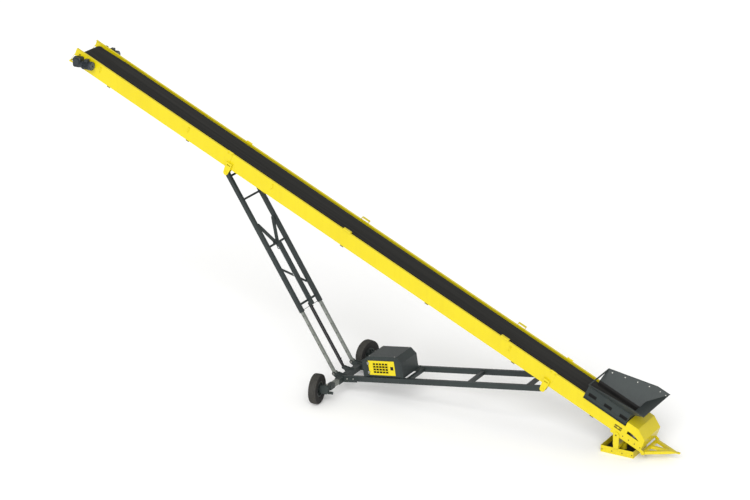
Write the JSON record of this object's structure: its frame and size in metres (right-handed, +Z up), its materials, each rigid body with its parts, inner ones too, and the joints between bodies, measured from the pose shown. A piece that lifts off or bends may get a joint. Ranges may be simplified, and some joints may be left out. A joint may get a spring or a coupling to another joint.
{
  "type": "radial stacker conveyor",
  "caption": "Wheeled radial stacker: a long troughed belt boom on telescopic legs and an axle, with a feed hopper over a swivelling foot.",
  "frame": {"origin": "centre of the foot's base on the ground, on the slewing axis, under the boom's foot hinge", "axes": "+X from the discharge head to the feed end and drawbar, +Y to the machine's left when towed, +Z up"},
  "size_m": [19.18, 3.7212, 8.8707],
  "materials": {
    "yellow_paint": "semi-gloss yellow paint",
    "slate_paint": "semi-gloss slate grey paint",
    "tyre": "matt tyre rubber",
    "belt_rubber": "matt belt cover rubber",
    "black_rubber": "matt black rubber",
    "galvanised": "zinc coated steel",
    "drum_steel": "machined steel",
    "roller_steel": "black steel tube",
    "motor_paint": "slate grey painted aluminium casing",
    "black_paint": "gloss black paint",
    "plated_rod": "hard chrome",
    "pin_steel": "turned steel",
    "engine_iron": "cast iron",
    "slide_plastic": "slide plastic",
    "bearing_iron": "painted cast iron"
  },
  "bodies": {
    "chassis": {"arm_right": "slate_paint", "arm_left": "slate_paint", "arm_cross_members": "slate_paint", "axle_beam": "slate_paint", "axle_extension_right": "galvanised", "axle_extension_left": "galvanised", "leg_foot_plates_right": "slate_paint", "leg_foot_plates_left": "slate_paint", "leg_foot_pins": "pin_steel", "lift_cylinder_lug": "slate_paint", "kingpins": "pin_steel", "kingpin_carriers": "slate_paint", "power_pack_housing": "slate_paint", "engine_block": "engine_iron"},
    "foot_yoke": {"foot_yoke": "yellow_paint"},
    "foot_tray": {"foot_tray": "yellow_paint", "foot_tray_mat": "black_rubber"},
    "upper_leg": {"outer_leg_tube_right": "slate_paint", "outer_leg_tube_left": "slate_paint", "outer_leg_pads": "slide_plastic", "outer_leg_braces": "slate_paint", "lift_cylinder_rod": "plated_rod"},
    "lower_leg": {"inner_leg_tube_right": "galvanised", "inner_leg_tube_left": "galvanised", "lift_cylinder_barrel": "black_paint"},
    "knuckle_right": {"knuckle_right": "slate_paint"},
    "knuckle_left": {"knuckle_left": "slate_paint"},
    "wheel_right": {"tyre_right": "tyre", "rim_right": "slate_paint", "hub_right": "slate_paint"},
    "wheel_left": {"tyre_left": "tyre", "rim_left": "slate_paint", "hub_left": "slate_paint"},
    "power_pack_door": {"power_pack_door": "yellow_paint"},
    "boom": {"arm_bracket_left": "yellow_paint", "arm_bracket_right": "yellow_paint", "belt": "belt_rubber", "drawbar": "yellow_paint", "feed_hopper": "slate_paint", "head_gearmotor_left": "motor_paint", "head_gearmotor_right": "motor_paint", "head_guard": "yellow_paint", "head_pulley": "drum_steel", "hopper_skirt_rubbers": "black_rubber", "leg_bracket_left": "yellow_paint", "leg_bracket_right": "yellow_paint", "lifting_saddles": "yellow_paint", "pulley_bearings": "bearing_iron", "return_roller_brackets": "yellow_paint", "return_rollers": "roller_steel", "side_channel_left": "yellow_paint", "side_channel_right": "yellow_paint", "side_clips": "yellow_paint", "tail_cheek_left": "yellow_paint", "tail_cheek_right": "yellow_paint", "tail_hood": "yellow_paint", "tail_pulley": "drum_steel", "trough_idler_frames": "slate_paint", "trough_rollers": "roller_steel"}
  },
  "joints": [
    {"name": "boom_luff", "type": "hinge", "parent": "chassis", "child": "boom", "pos_m": [-2.20313, 0, 1.50372], "axis": [0, 1, 0], "range_deg": [-14, 0]},
    {"name": "foot_hinge", "type": "hinge", "parent": "boom", "child": "foot_yoke", "pos_m": [0, 0, 0.625], "axis": [0, 1, 0], "range_deg": [-4, 18]},
    {"name": "slew", "type": "hinge", "parent": "foot_yoke", "child": "foot_tray", "pos_m": [0, 0, 0], "axis": [0, 0, 1], "continuous": true},
    {"name": "leg_swing", "type": "hinge", "parent": "chassis", "child": "lower_leg", "pos_m": [-8.735, 0, 0.57], "axis": [0, 1, 0], "range_deg": [-23.56, 0]},
    {"name": "leg_extension", "type": "slide", "parent": "lower_leg", "child": "upper_leg", "axis": [-0.5422, 0, 0.8403], "range_m": [-1.3, 0]},
    {"name": "knuckle_swivel_right", "type": "hinge", "parent": "chassis", "child": "knuckle_right", "pos_m": [-8.48, -1.377, 0.478], "axis": [0, 0, 1], "range_deg": [0, 80.8]},
    {"name": "knuckle_swivel_left", "type": "hinge", "parent": "chassis", "child": "knuckle_left", "pos_m": [-8.48, 1.377, 0.478], "axis": [0, 0, -1], "range_deg": [0, 80.8]},
    {"name": "wheel_spin_right", "type": "hinge", "parent": "knuckle_right", "child": "wheel_right", "pos_m": [-8.77612, -1.42508, 0.43], "axis": [0.9871, 0.1603, 0], "continuous": true},
    {"name": "wheel_spin_left", "type": "hinge", "parent": "knuckle_left", "child": "wheel_left", "pos_m": [-8.77612, 1.42508, 0.43], "axis": [0.9871, -0.1603, 0], "continuous": true},
    {"name": "power_pack_door_hinge", "type": "hinge", "parent": "chassis", "child": "power_pack_door", "pos_m": [-7.61271, -0.531, 0.76361], "axis": [0.1613, 0, -0.9869], "range_deg": [0, 105]}
  ],
  "couplings": [
    {"joint": "leg_swing", "follows": "boom_luff", "ratio": 1.6754},
    {"joint": "leg_extension", "follows": "boom_luff", "m_per_rad": 5.314}
  ]
}
